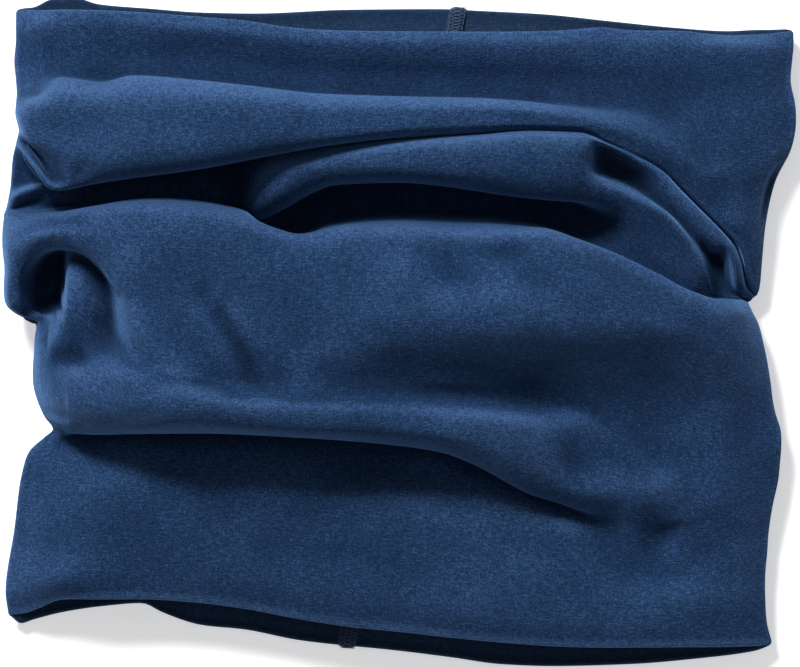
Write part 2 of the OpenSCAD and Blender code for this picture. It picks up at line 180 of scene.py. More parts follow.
        (72, 32, 19.3), (79, 28.3, 20.3), (85, 23.5, 20), (90, 19, 18.8), (94, 15, 16.8),
        (96.5, 12.6, 13.5), (99, 11.5, 10.3), (102, 10.9, 7.5), (105, 10.5, 6), (110.6, 9.9, 5)],
    "valley": [(-125.6, 37.8, 9.8), (-121, 37.4, 16.2), (-118, 37.7, 18.6), (-110, 38.3, 19),
        (-95, 40, 12), (-79, 41, 12), (-63, 40, 11.5), (-50, 37, 11.5), (-40, 34, 12), (-32, 32.5, 13),
        (-22, 36.5, 13), (0, 39, 13), (22, 38.5, 13), (44, 35.7, 13), (56, 31, 15), (68, 25.7, 18.5),
        (79, 20, 19), (88, 15.3, 17.8), (93, 12.8, 15.8), (97, 11.3, 12.7), (100, 10.6, 10),
        (103, 10.4, 7.5), (106, 10.2, 6), (110.5, 9.8, 5)],
    "broad_crest": [(-125.6, 37, 11), (-122, 36.8, 17), (-117, 37.2, 21), (-112, 37, 25.5),
        (-105, 37.5, 29.5), (-94.7, 38.6, 34.3), (-82, 39, 37.4), (-69.5, 38.4, 39), (-57, 37, 39),
        (-46, 34.1, 38.4), (-38, 31.3, 38.6), (-32, 29.9, 39), (-22, 31.3, 39.2), (-16, 32.1, 39.6),
        (0, 32, 41.2), (18, 30.8, 38.4), (31, 30.7, 39), (44, 31.2, 40.2), (56, 28.3, 38.6),
        (68, 24.3, 33), (80, 18.9, 29.3), (92, 12.6, 28.3), (100.3, 10.4, 22.6), (105, 10.5, 17),
        (108, 10.6, 11.3), (110.6, 9.6, 6)],
    "broad_rise": [(-126, 32.5, 13), (-123, 32.7, 20.5), (-117, 33.5, 25.5), (-110, 34.8, 29),
        (-102, 35.8, 32.3), (-94.7, 36, 36), (-82, 36.5, 38.4), (-69.5, 35.8, 40), (-57, 34, 40.2),
        (-46, 30.5, 39.6), (-38, 27.8, 39.8), (-32, 27, 40.2), (-22, 28.4, 40.9), (-16, 28.8, 41.2),
        (0, 28.6, 42.4), (18, 27.6, 39.2), (31, 26.6, 39.1), (44, 27, 41.1), (56, 25, 40),
        (68, 20.3, 35.3), (80, 14.6, 31.6), (92, 8.7, 29.4), (101, 6.8, 24.9), (107, 7, 18.6),
        (111.8, 7, 7)],
    "broad_face": [(-126, 27.5, 14), (-123.3, 27.5, 22.5), (-118.5, 28.7, 27.5), (-113, 30.6, 31.5),
        (-106, 31.6, 34), (-99, 31, 36), (-92, 28.5, 38), (-84, 25.5, 40.4), (-69.5, 23.5, 41),
        (-57, 22, 41), (-46, 20.5, 40.9), (-32, 19, 41.2), (-19, 19.3, 42.3), (0, 19.8, 45.2),
        (18, 19.2, 42.2), (31, 19.6, 42.7), (44, 18.2, 42.9), (56, 16.3, 42.4), (68, 12.2, 38.6),
        (80, 7.8, 34.3), (92, 3.3, 29.6), (102, 2, 24.9), (108.5, 2.5, 17.4), (113.8, 3, 7)],
    "arch_lip": [(-125.3, 20, 14), (-123, 20, 21.5), (-120, 20.6, 23), (-117, 22.2, 23),
        (-114.5, 24.3, 24.5), (-111, 26.3, 27.5), (-107, 27.1, 30.3), (-103, 26.9, 32.3),
        (-99.5, 25.5, 33.5), (-96.3, 23, 34), (-93.3, 19.8, 34.3), (-90.7, 16.2, 35), (-88, 13.7, 37),
        (-84.8, 12.3, 39.2), (-69.5, 12, 41.3), (-66, 11.8, 41.5), (-61, 11.6, 41), (-57.5, 11.5, 41.6),
        (-44, 11, 41.6), (-32, 10.5, 41.8), (-19, 10.3, 43.2), (0, 10.3, 46.4), (18, 10.5, 46.6),
        (31, 10.8, 46.9), (44, 9.5, 45.6), (56, 8.2, 43.4), (68, 5.5, 40), (82, 1.8, 34.6),
        (92, -1, 29.2), (101, -2.5, 24.8), (109.5, -3.5, 17), (115.3, -3, 8)],
    "cave_top": [(-125.6, 14.3, 13), (-123.3, 14.3, 20), (-120.5, 15, 20.3), (-117.8, 17.3, 16.5),
        (-115.2, 20.5, 12), (-112, 23.6, 9.3), (-108.5, 24.9, 8.5), (-106, 25.2, 9.5), (-104.9, 25.2, 21),
        (-102, 25, 25), (-98.6, 23.4, 25.6), (-96, 21, 25), (-93.2, 17.8, 24.6), (-90.7, 14.2, 26.2),
        (-88.5, 11.3, 31), (-86.3, 9.8, 35.8), (-84.3, 9, 39), (-69.5, 7.2, 41.6), (-65, 6.9, 42.1),
        (-60, 6.6, 41.7), (-56, 6.3, 40.8), (-52, 6, 42.2), (-46, 5.8, 41.9), (-44, 5.8, 41.9),
        (-32, 5.3, 41.9), (-19, 5.2, 43.5), (0, 5.3, 46.5), (31, 5, 47.2), (44, 4.5, 46), (56, 3.3, 43.5),
        (68, 0.5, 39.2), (82, -3.5, 31.8), (92, -5.5, 27.3), (101, -6.8, 23.8), (110, -7.5, 16),
        (116.2, -7, 8)],
    "cave_floor": [(-125, 9.3, 12), (-123, 8.8, 18), (-120.5, 9, 18.5), (-117.8, 10, 14.5),
        (-115, 12, 9.5), (-111, 14.5, 8), (-108, 16, 8), (-106.2, 16.5, 9), (-105.3, 16.8, 24.5),
        (-103.5, 17, 28.3), (-101, 16.7, 28.6), (-97.8, 15.5, 27.2), (-94.9, 13.7, 25), (-92, 11.3, 23.2),
        (-89.8, 8.7, 25.6), (-87.8, 6.6, 31.3), (-86, 5.2, 35.8), (-84.1, 4, 39.2), (-69.5, 1.8, 41.8),
        (-62, 1.2, 42.5), (-57, 0.8, 42), (-52.8, 0.6, 40.5), (-48.5, 0.4, 41.9), (-43, 0.3, 41.9),
        (-32, 0, 41.8), (-19, 0, 43.3), (0, 0.5, 45.2), (31, 0.3, 46.2), (44, -0.5, 44.3), (56, -2, 41.7),
        (68, -4.5, 36), (82, -9, 28.2), (92, -10.5, 24.9), (101, -11, 22.2), (110.5, -11.5, 15.3),
        (117, -11.5, 8)],
    "ridge_row": [(-121.5, 6, 10), (-119.3, 5.6, 14.5), (-117, 5.8, 13), (-114.5, 6.3, 9.5),
        (-111.5, 7.6, 8), (-109, 8.8, 8), (-107.2, 9.3, 9), (-106.2, 9.6, 24.5), (-104.2, 9.8, 28.8),
        (-101.5, 9.4, 29), (-97, 8.2, 27.8), (-94, 6.6, 25.1), (-91.3, 4.8, 22.7), (-89.3, 2.8, 25.6),
        (-87.5, 1.3, 31.2), (-85.8, 0.2, 35.8), (-84, -0.8, 39), (-69.5, -3, 42.2), (-60, -3.6, 42.7),
        (-54.5, -3.9, 41.9), (-50, -4, 39.8), (-46, -4, 41.3), (-41, -4, 41.7), (-32, -4, 41.8),
        (-19, -4, 43), (0, -3.5, 43.3), (31, -4, 43), (44, -4.7, 40.8), (56, -6, 38), (68, -9, 32.5),
        (82, -14.5, 25), (92, -15.3, 22.4), (101, -15.5, 20.6), (111, -16, 14.5), (117.7, -16, 8)],
    "ridge_low": [(-115.6, 3.2, 9), (-113.8, 4, 14.5), (-111.5, 5.4, 16.5), (-109.8, 5.9, 17.5),
        (-108.4, 5.9, 18.5), (-107.4, 5.9, 26.5), (-105.4, 5.7, 28.8), (-102.5, 5, 28.6),
        (-97.6, 4, 27.4), (-94.5, 2.4, 24.8), (-91.5, 0.6, 22.9), (-89.3, -1, 26.2), (-87.4, -2.3, 30.9),
        (-85.7, -3.2, 35), (-83.6, -4.2, 38.4), (-69.5, -6.8, 42.8), (-60, -7.4, 42.5), (-53, -7.8, 41.4),
        (-48.3, -8, 38.7), (-44, -8, 40), (-38, -7.8, 41), (-32, -7.5, 41.7), (-19, -7, 42.3),
        (0, -7.3, 40.4), (31, -8, 39), (44, -8.7, 36), (56, -10, 34.5), (68, -13.5, 29.5),
        (82, -20, 22.6), (92, -20.5, 20.2), (101, -20.5, 18.9), (111, -20.5, 13.6), (118.2, -20.5, 8)],
    "broad_low": [(-115.8, -1.3, 12), (-114.2, -1.5, 18.5), (-112.6, -1.7, 21), (-111.2, -1.8, 22),
        (-110.2, -1.9, 26.5), (-108, -2, 28.5), (-105, -2.2, 28.6), (-101.5, -2.7, 27.3),
        (-96.1, -3.3, 28), (-93.1, -4, 28), (-90.1, -4.7, 29.8), (-87.6, -5.5, 33), (-85.5, -6.2, 35.8),
        (-83.2, -7, 38.3), (-69.5, -10.3, 43.5), (-60, -11, 42), (-52, -11.4, 40.7), (-47, -11.7, 37.9),
        (-42.5, -11.3, 39.2), (-36, -10.8, 40.6), (-32, -10.5, 41.5), (-19, -9.7, 41.2), (0, -10.8, 37.9),
        (31, -12, 34.5), (44, -12.8, 31.8), (56, -14, 31), (68, -18, 26.8), (82, -26, 20.8),
        (92, -26.5, 18.8), (101, -26, 17.8), (111, -25.5, 12.9), (119.2, -25.5, 8)],
    "broad_hollow": [(-116, -6.5, 13), (-114.6, -6.8, 19.5), (-113, -7, 24), (-109.5, -7.2, 27.3),
        (-105, -7.3, 27.5), (-101, -7.5, 27.3), (-97.5, -7.9, 31.3), (-94, -8.3, 34.2), (-89.5, -9, 37),
        (-85, -9.6, 39), (-69.5, -12.5, 44.5), (-60, -14.2, 42), (-51, -14.9, 39.8), (-46, -15.1, 37.8),
        (-41, -14.8, 38.8), (-34, -14.2, 40.6), (-32, -14, 41.3), (-19, -13.3, 39.9), (0, -14.5, 35.9),
        (31, -16.2, 31), (44, -16.9, 28.3), (56, -18, 28), (68, -23, 24.8), (82, -32, 19.9),
        (92, -32.3, 18.2), (101, -32, 17.2), (111, -31, 12.6), (120.8, -30.5, 8)],
    "lower_crest": [(-116.4, -12, 12), (-113.5, -12.6, 21.5), (-109.5, -12.5, 27.8), (-104, -12, 31.5),
        (-98, -11.8, 35), (-94, -12, 37.5), (-89, -12.3, 40.5), (-69.5, -14.6, 44.8), (-60, -15.5, 42.2),
        (-51, -16, 40.2), (-45, -16.6, 38.8), (-38, -17, 40.4), (-30, -17.4, 41.7), (-19, -18.3, 40.1),
        (0, -18, 35.3), (15, -18.8, 31.2), (31, -20.3, 29), (44, -21.8, 26.8), (56, -22.7, 26),
        (68, -28.5, 23.8), (82, -37.5, 19.7), (92, -38, 17.9), (101, -38, 16.9), (111, -37, 12.4),
        (121, -36, 8)],
    "lower_top": [(-116.2, -16.5, 12), (-112.5, -17.5, 22), (-108, -18, 28.5), (-102, -18, 34.3),
        (-95, -17.5, 38.7), (-88, -17.5, 41.7), (-69.5, -17.2, 47), (-60, -18.4, 45.6),
        (-50, -19.2, 42.5), (-32, -20.4, 42.8), (-19, -20.8, 41.3), (0, -20.9, 36.9), (15, -21.8, 33.6),
        (31, -23.2, 31.2), (44, -25, 29), (56, -26.7, 27.5), (68, -34, 24), (82, -42.5, 21),
        (92, -43.3, 18.3), (101, -43.5, 16.9), (111, -42, 12.2), (120.6, -41, 7.5)],
    "lower_face": [(-115, -21, 12), (-111, -22.3, 21), (-106, -23.5, 28), (-100, -23.7, 34),
        (-95, -23.7, 37.5), (-88, -23.8, 40.8), (-69.5, -20.5, 47.8), (-60, -21.7, 47.3),
        (-50, -22.6, 45.6), (-32, -23.3, 44.8), (-19, -23.4, 43.4), (0, -23.9, 39.5), (15, -25, 37.6),
        (31, -26.5, 36.4), (44, -28.7, 32.2), (56, -31.7, 27.2), (68, -40, 24), (82, -46.7, 22.5),
        (92, -48, 18.9), (101, -48.5, 17), (111, -47.5, 12.1), (120, -47, 7)],
    "lower_mid": [(-113.8, -24, 11), (-110, -25.3, 18.5), (-105, -26.3, 25.5), (-100, -26.7, 31),
        (-95, -26.8, 35), (-88, -26.6, 38.7), (-82, -26.5, 41.3), (-69.5, -26.5, 45.8), (-50, -27, 44.8),
        (-32, -27.2, 44.4), (-19, -27.4, 43), (0, -27.8, 39.8), (15, -28.9, 38.2), (31, -31.5, 36.4),
        (44, -36, 31.7), (56, -41.5, 25.2), (68, -46.5, 25), (82, -49.8, 22.7), (92, -50.7, 19),
        (101, -51.2, 16.9), (111, -50.7, 11.9), (119.2, -50.5, 7)],
    "lower_low": [(-112.7, -26.3, 10), (-108.5, -28, 18.3), (-104, -29, 24), (-99, -29.3, 27.5),
        (-95, -29.4, 31), (-69.5, -28.4, 43.5), (-50, -29, 43), (-32, -29.7, 43.4), (-19, -30, 42),
        (-7, -30.3, 40.2), (5, -31, 38.8), (15, -32.3, 37.6), (24, -35, 36.2), (31, -38.3, 34.7),
        (38, -42.5, 31.3), (45, -46, 28.3), (52, -48.5, 26), (58, -50, 24.8), (68, -51, 24.3),
        (82, -52.7, 22), (92, -53, 18.9), (101, -53.7, 16.7), (111, -53.5, 11.6), (118.4, -54, 7)],
    "lower_lip": [(-110, -30.2, 9.5), (-107, -31, 13.8), (-103, -31.6, 17.5), (-95, -32, 21),
        (-82, -31.6, 26), (-63, -31.5, 29), (-32, -32.8, 30), (-7, -34.7, 29), (12, -37.3, 27.5),
        (25, -42.2, 26), (33, -46.6, 24.3), (41, -50.7, 22.3), (50, -53.3, 20), (57, -55.3, 18.7),
        (65, -56.3, 19), (73, -57.3, 20.5), (82, -58.9, 17.6), (90, -58.5, 18.2), (98, -58.5, 16),
        (107, -59, 13.7), (117.5, -59.5, 6.5)],
    "lower_tuck": [(-112.3, -32.4, 7.5), (-107, -33, 12.2), (-103, -31.8, 12.2), (-95, -29.2, 11.7),
        (-82, -27.3, 12.5), (-63, -27, 13), (-32, -28.3, 13), (-7, -30.7, 13), (12, -33.7, 13),
        (25, -38.7, 13), (33, -43.7, 13), (41, -48.7, 13), (50, -53.7, 13.5), (57, -56.5, 14),
        (65, -59.2, 15.3), (74, -61, 17.8), (83, -62, 14.4), (92, -61.5, 16.4), (100, -61.3, 14.8),
        (108, -62, 12.7), (117, -63.5, 6)],
    "low_shade": [(-117.8, -37.4, 6.5), (-113, -37.9, 9.5), (-104, -38.6, 13.3), (-95, -38.6, 15.6),
        (-82, -38.5, 18.7), (-63, -39, 18.7), (-40, -39.6, 18.2), (-7, -42, 15.7), (12, -45, 15.7),
        (25, -50, 16.2), (40, -56, 16.7), (52, -60.5, 16.7), (65, -64.5, 13.5), (73, -68.5, 13.6),
        (80, -70, 12.9), (88, -69.8, 14.4), (98, -69, 13.8), (107, -69, 12.7), (116.6, -69.5, 6)],
    "low_band": [(-120, -44, 6.2), (-108, -45.5, 12.6), (-95, -45.5, 18.2), (-82, -46.5, 20.9),
        (-63, -47.5, 20.9), (-32, -50, 20.4), (0, -54, 19.4), (25, -60, 18.2), (45, -66, 17.2),
        (55, -68.5, 16.4), (65, -72, 13.8), (75, -75, 12.6), (83, -76, 13), (95, -76, 14.3),
        (107, -76, 12), (116, -76, 6)],
    "low_mid": [(-122.5, -62, 6), (-113, -62.5, 13), (-95, -63.5, 18.5), (-63, -65, 20), (-32, -68, 19),
        (0, -72, 19), (32, -77, 19.5), (65, -82, 16.5), (78, -84, 15.8), (90, -84, 15.8), (107, -84, 12),
        (116, -84, 6)],
    "low_hem": [(-125.3, -82, 6), (-116, -80, 12.6), (-105, -78.3, 18.3), (-82, -75.5, 17.2),
        (-63, -77, 18.2), (-32, -81, 18.2), (0, -85.5, 18.2), (32, -90, 18.7), (65, -92, 16.6),
        (90, -92, 14.6), (107, -92, 10.5), (116.6, -92, 5.5)],
    "rim_bottom": [(-124.5, -88.5, 4.5), (-119.5, -88, 6), (-115, -86.5, 9), (-107, -83.8, 12.8),
        (-95, -83.2, 15.2), (-82, -83, 15), (-66, -84.1, 14.9), (-50.6, -85.9, 15.4), (-32, -89.3, 15.4),
        (-16, -91.8, 15.4), (0, -93.4, 15.4), (16, -95.3, 15.4), (32, -96.9, 15.4), (52, -98.1, 15.4),
        (72, -98.4, 13.9), (96, -98.2, 11.9), (112, -97.9, 7.5), (118, -97.2, 4.5)],
}

# Rims of the back ply as (x, y) points from left to right
BACK_TOP = [(-122, 101.5), (-117, 102), (-110, 104.8), (-102.5, 105), (-96, 103.2), (-79, 101.7),
            (-63, 100.5), (-46, 100.2), (-16, 101.4), (12, 101.6), (26, 101), (45, 100),
            (68, 97.6), (88, 95.6), (104, 94.6), (114, 95), (125, 95)]
BACK_BOTTOM = [(-124.5, -88.5), (-121, -90.6), (-117, -89.5), (-107, -87), (-95, -85.2), (-82, -84.2),
               (-76, -87), (-63, -91.2), (-50, -92.5), (-32, -96), (0, -99.4), (16, -101.4),
               (32, -103.6), (48, -104.2), (72, -103.6), (96, -101.6), (112, -99.4), (118, -97.2)]
# Low folds of the back ply: middle (x, y), length, width, slant and height
BACK_FOLDS = [(-22, 67, 80, 10, -0.06, 13), (12, 14, 85, 15, -0.2, 14), (-35, 2, 60, 11, -0.05, 7),
              (-38, -24, 62, 9, -0.08, 10), (48, -62, 50, 10, -0.15, 3)]
FOLD_WAVE, FOLD_WAVE_L = 3.0, 23.0         # how far those folds wander, and over what length


def slopes(xs, ys):
    """Slopes of a smooth curve through the points that never overshoots them."""
    h = np.diff(xs)[:, None]
    d = np.diff(ys, axis=0) / h
    m = np.zeros_like(ys)
    m[0], m[-1] = d[0], d[-1]
    same = d[:-1] * d[1:] > 0
    w1, w2 = 2 * h[1:] + h[:-1], h[1:] + 2 * h[:-1]
    safe = np.where(same, d[:-1] * d[1:], 1.0)
    mean = (w1 + w2) * safe / np.where(same, w1 * d[1:] + w2 * d[:-1], 1.0)
    m[1:-1] = np.where(same, mean, 0.0)
    return m


def hermite(a, b, ma, mb, t):
    """Point at share t of the way from a to b, with the slopes ma and mb at the ends."""
    return (a * (2 * t**3 - 3 * t**2 + 1) + ma * (t**3 - 2 * t**2 + t)
            + b * (3 * t**2 - 2 * t**3) + mb * (t**3 - t**2))


def curve_at(xs, ys, x):
    """Points of the smooth curve through (xs, ys) at every x."""
    m = slopes(xs, ys)
    i = np.clip(np.searchsorted(xs, x, side="right") - 1, 0, len(xs) - 2)
    w = (xs[i + 1] - xs[i])[:, None]
    t = ((x - xs[i]) / (xs[i + 1] - xs[i]))[:, None]
    return hermite(ys[i], ys[i + 1], m[i] * w, m[i + 1] * w, t)


def unit(v, least=1e-9):
    """Vectors in the last axis, made one long."""
    return v / np.maximum(np.linalg.norm(v, axis=-1, keepdims=True), least)


def run_along(points):
    """Distance of each point from the first, along the points."""
    return np.concatenate([[0], np.cumsum(np.linalg.norm(np.diff(points, axis=0), axis=1))])


def around(grid):
    """Mean of each ring's next points on both sides."""
    return (np.roll(grid, 1, axis=1) + np.roll(grid, -1, axis=1)) / 2


def blur(grid):
    """Evens out a tube of rings by thirds, round it and then along it."""
    grid = (grid + np.roll(grid, 1, axis=1) + np.roll(grid, -1, axis=1)) / 3
    grid[1:-1] = (grid[:-2] + grid[1:-1] + grid[2:]) / 3
    return grid


# Places across the flat front ply, closer together where the small folds are
SMALL_TO, SMALL_FROM = -86, 56
STATIONS = np.concatenate([np.arange(-HALF_W, SMALL_TO, 0.6), np.arange(SMALL_TO, SMALL_FROM, 1.3),
                           np.arange(SMALL_FROM, HALF_W, 0.8), [HALF_W]])
# Between these a station's x is its place on the flat ply
HOLD_LEFT, HOLD_RIGHT = -104.0, 98.0


def station_x(left, right):
    """The stations' x on a fold line that ends at left and right."""
    x = STATIONS.copy()
    for hold, side, end in ((HOLD_LEFT, -HALF_W, left), (HOLD_RIGHT, HALF_W, right)):
        past = (STATIONS - hold) / (side - hold)
        x = np.where(past > 0, hold + past * (end - hold), x)
    return x


def fold_rows():
    rows = []
    for points in FOLDS.values():
        p = np.array(points, float)
        x = station_x(p[0, 0], p[-1, 0])
        rows.append(np.column_stack([x, curve_at(p[:, 0], p[:, 1:], x)]))
    return np.array(rows)


USUAL = 70                     # percent of a row's points that keep within RING_STEP
KNOT_LEAST, KNOT_POWER = 0.6, 0.75         # how the curve's pace follows the rows' distance


def between_rows(rows):
    """A smooth sheet through the rows: each ring's position among them, and its points."""
    n = len(rows)
    places = []
    for i in range(n - 1):
        apart = np.percentile(np.linalg.norm(rows[i + 1] - rows[i], axis=1), USUAL)
        k = max(3, int(math.ceil(apart / RING_STEP)))
        places += [i + j / k for j in range(k)]
    places.append(n - 1.0)
    places = np.array(places)
    i = np.clip(places.astype(int), 0, n - 2)
    t = (places - i)[:, None, None]
    a, b, c, d = rows[np.maximum(i - 1, 0)], rows[i], rows[i + 1], rows[np.minimum(i + 2, n - 1)]

    def knot(p, q):
        apart = np.linalg.norm(q - p, axis=2, keepdims=True)
        return np.maximum(apart, KNOT_LEAST) ** KNOT_POWER
    ab, bc, cd = knot(a, b), knot(b, c), knot(c, d)
    mb = ((b - a) / ab - (c - a) / (ab + bc) + (c - b) / bc) * bc
    mc = ((c - b) / bc - (d - b) / (bc + cd) + (d - c) / cd) * bc
    first, last = i == 0, i == n - 2
    mb[first] = (c - b)[first]
    mc[last] = (c - b)[last]
    return places, hermite(b, c, mb, mc, t)


# Squares in which the room below the front ply is measured, and the corner they start from
SQUARE, SQUARES, CORNER = 3.0, (100, 90), (150, 130)
ABOVE_ALL = 60.0
CLEARANCE = 0.4                # least distance between the tube's front and back inside it


def room_below(front, x, y):
    """Height that the back ply can reach at each place without meeting the front ply."""
    def square(x, y):
        return ((x + CORNER[0]) / SQUARE).astype(int), ((y + CORNER[1]) / SQUARE).astype(int)
    lowest = np.full(SQUARES, ABOVE_ALL)
    np.minimum.at(lowest, square(front[:, :, 0], front[:, :, 1]), front[:, :, 2])
    for _ in range(2):
        for axis in (0, 1):
            near = np.minimum(np.roll(lowest, 1, axis), np.roll(lowest, -1, axis))
            lowest = np.minimum(lowest, near)
    for _ in range(3):
        for axis in (0, 1):
            lowest = (np.roll(lowest, 1, axis) + lowest + np.roll(lowest, -1, axis)) / 3
    return np.maximum(lowest[square(x, y)] - 2 * LINING_IN - CLEARANCE, 0.0)


def hidden_folds(x, y):
    """Height of the back ply, which lies in low soft folds under those of the front."""
    z = np.zeros_like(x)
    for at_x, at_y, long, wide, slant, height in BACK_FOLDS:
        away = y - at_y - slant * (x - at_x) - FOLD_WAVE * np.sin(x / FOLD_WAVE_L + at_y)
        z += height * np.exp(-((x - at_x) / long) ** 2 - (away / wide) ** 2)
    return z


RIM_ROWS = 4.0                 # fold lines over which the back rims' outline fades
SIDE_ROUND = 9.0               # how far the front's side bends reach into the back ply
SIDE_DROP = 1.5                # how far the back turns down below those bends
FOLDS_FROM, FOLDS_RISE = 4, 26.0           # where the back's folds start inside a side, and rise over
CROWD = 0.06                   # how much closer together the back's points lie at its sides


def back_sheet(places, front):
    """The back ply under the front ply, ring for ring, from its right side to its left."""
    share = np.linspace(1, 0, N_BACK + 2)[1:-1]
    share = share - CROWD * np.sin(2 * np.pi * share)
    left, right = front[:, 0], front[:, -1]
    x = left[:, None, 0] + (right - left)[:, None, 0] * share
    y = left[:, None, 1] + (right - left)[:, None, 1] * share
    for outline, rows_away in ((BACK_TOP, places), (BACK_BOTTOM, places[-1] - places)):
        rim = np.array(outline, float)
        (x0, y0), (x1, y1) = rim[0], rim[-1]
        wave = curve_at(rim[:, 0], rim[:, 1:], x0 + (x1 - x0) * share)[:, 0] - (y0 + (y1 - y0) * share)
        y = y + np.clip(1 - rows_away / RIM_ROWS, 0, 1)[:, None] * wave
    edge = np.minimum(np.abs(x - left[:, None, 0]), np.abs(x - right[:, None, 0]))
    side_z = left[:, None, 2] * (1 - share) + right[:, None, 2] * share
    round_off = np.clip(1 - edge / SIDE_ROUND, 0, 1) ** 2
    inner = np.clip((edge - FOLDS_FROM) / FOLDS_RISE, 0, 1)
    z = hidden_folds(x, y) * inner * inner * (3 - 2 * inner)
    z = np.minimum(z, room_below(front, x, y)) + (side_z - SIDE_DROP) * round_off
    return np.stack([x, y, z], axis=2)


def soften(grid, weight=0.35):
    """Evens out a tube of rings: every point moves towards the middle of its neighbours."""
    for _ in range(2):
        near, along = around(grid), grid.copy()
        along[1:-1] = (grid[:-2] + grid[2:]) / 2
        grid = grid + weight * ((near + along) / 2 - grid)
    return grid


def tube_normals(grid):
    across = np.roll(grid, -1, axis=1) - np.roll(grid, 1, axis=1)
    n = unit(np.cross(across, np.gradient(grid, axis=0)))
    for _ in range(2):
        n = unit(blur(n))
    return n


places, front = between_rows(fold_rows())
skin = soften(np.concatenate([front, back_sheet(places, front)], axis=1))
skin[:, :, 2] -= skin[:, :, 2].min()
normal = tube_normals(skin)
if normal[len(normal) // 2, len(STATIONS) // 2, 2] < 0:
    normal = -normal


def face_at(depth):
    """The tube's rings at a depth below the skin, carried round both rims to their tips."""
    r = RIM_R - depth
    angles = np.linspace(90, 0, NOSE + 1)[:-1] * math.pi / 180
    sides = []
    for end, step in ((0, 1), (-1, -1)):
        n = normal[end]
        out = skin[end] - skin[end + 2 * step]
        out -= n * np.sum(out * n, axis=1, keepdims=True)
        out = unit(out)
        centre = skin[end] - n * RIM_R
        sides.append([centre + n * r * math.cos(a) + out * abs(r) * math.sin(a) for a in angles])
    return np.concatenate([np.array(sides[0]), skin - normal * depth, np.array(sides[1][::-1])])


RIM_PAINTED_HIGHLIGHT = (0.5, 0.9)          # painted highlight along the top and bottom rims' edges
CREASE = 0.12                  # bend at which the painted highlight on crests and painted shade in creases are nearly full
LEVEL_CREST, LIT_CREST_GAIN = 0.55, 0.9           # share of painted highlight on a level crest, and extra for a crest facing the top rim and the key light


def paint_fold_light(grid, out):
    """Painted light on the cloth: from -1, painted shade in a crease, to 1, a painted highlight on a
    crest facing the top rim, where the key light stands, and a painted highlight most of the way along
    the edges of the rims."""
    down = np.zeros_like(grid)
    down[1:-1] = grid[1:-1] - (grid[:-2] + grid[2:]) / 2
    painted_light = np.sum((grid - around(grid) + down) * out, axis=2)
    for _ in range(3):
        painted_light = blur(painted_light)
    painted_light = np.tanh(painted_light / CREASE)
    # painted highlight is strongest on crests whose normal faces +Y, towards the top rim and the key
    # light
    painted_light = np.where(painted_light > 0, painted_light * np.clip(LEVEL_CREST + LIT_CREST_GAIN * out[:, :, 1], 0, 1), painted_light)
    # painted highlight along the rims' edges
    rim = np.full((NOSE, grid.shape[1]), 1.0)
    top, low = RIM_PAINTED_HIGHLIGHT
    painted_light[0], painted_light[-1] = top, low
    painted_light[1], painted_light[-2] = (painted_light[1] + top) / 2, (painted_light[-2] + low) / 2
    return np.concatenate([rim * top, painted_light, rim * low])


def cloth_places(grid, anchors):
    """Where each point lies on the flat cloth, as distances across and down, in metres.
    anchors are stretches of rings, as (first, last, straight): along the ring "straight" the
    knit's courses run level, and the others keep their true distance from it."""
    steps = np.linalg.norm(np.diff(grid, axis=0), axis=2)
    run = np.concatenate([np.zeros((1, grid.shape[1])), np.cumsum(steps, axis=0)])
    level = np.median(run, axis=1)
    down = np.repeat(level[:, None], grid.shape[1], axis=1)
    for first, last, straight in anchors:
        down[first:last] = level[straight] + run[first:last] - run[straight]
    ring = grid[len(grid) // 2]
    gaps = np.linalg.norm(np.roll(ring, -1, axis=0) - ring, axis=1)
    gaps[:len(STATIONS) - 1] = np.diff(STATIONS)
    across = np.concatenate([[0], np.cumsum(gaps)])
    return across * MM, down * MM


def ring_at(name):
    """The ring that lies on a named fold line."""
    return NOSE + int(np.searchsorted(places, list(FOLDS).index(name)))


def course_anchors(rings):
    ends = [0, ring_at("upper_tuck"), ring_at("valley"), ring_at("lower_tuck"), rings]
    straight = ["upper_face", "pocket_edge", "arch_lip", "low_mid"]
    return [(a, b, ring_at(name)) for a, b, name in zip(ends, ends[1:], straight)]


def in_scene(obj):
    bpy.context.scene.collection.objects.link(obj)
    return obj


def mesh_object(name, verts, faces):
    mesh = bpy.data.meshes.new(name)
    mesh.from_pydata((np.asarray(verts) * MM).tolist(), [], faces)
    mesh.polygons.foreach_set("use_smooth", [True] * len(mesh.polygons))
    mesh.update()
    return in_scene(bpy.data.objects.new(name, mesh))


def tube_mesh(name, outer, inner, anchors=()):
    """Closed cloth between two nested tubes of rings, with its places on the flat cloth."""
    rings, n = outer.shape[:2]
    j = np.arange(n)
    k = (j + 1) % n
    i = np.arange(rings - 1)[:, None] * n
    skin_faces = np.stack([i + j, i + n + j, i + n + k, i + k], axis=2).reshape(-1, 4)
    base, last = rings * n, (rings - 1) * n
    top = np.stack([j, k, base + k, base + j], axis=1)
    low = np.stack([last + k, last + j, base + last + j, base + last + k], axis=1)
    faces = np.concatenate([skin_faces, base + skin_faces[:, ::-1], top, low])
    obj = mesh_object(name, np.concatenate([outer.reshape(-1, 3), inner.reshape(-1, 3)]),
                      faces.tolist())
    across, down = cloth_places(outer, anchors)
    corner = np.zeros(len(obj.data.loops), np.int32)
    obj.data.loops.foreach_get("vertex_index", corner)
    u = across[corner % n].reshape(-1, 4)
    width = across[-1]
    wraps = np.ptp(u, axis=1) > width / 2
    u[wraps] = np.where(u[wraps] < width / 2, u[wraps] + width, u[wraps])
    v = down.ravel()[corner % base]
    uv = obj.data.uv_layers.new(name="cloth")
    uv.data.foreach_set("uv", np.column_stack([u.ravel(), v]).ravel())
    return obj


def add_painted_light(obj, painted_light):
    layer = obj.data.attributes.new("painted_light", "FLOAT", "POINT")
    layer.data.foreach_set("value", np.concatenate([painted_light.ravel(), painted_light.ravel()]))


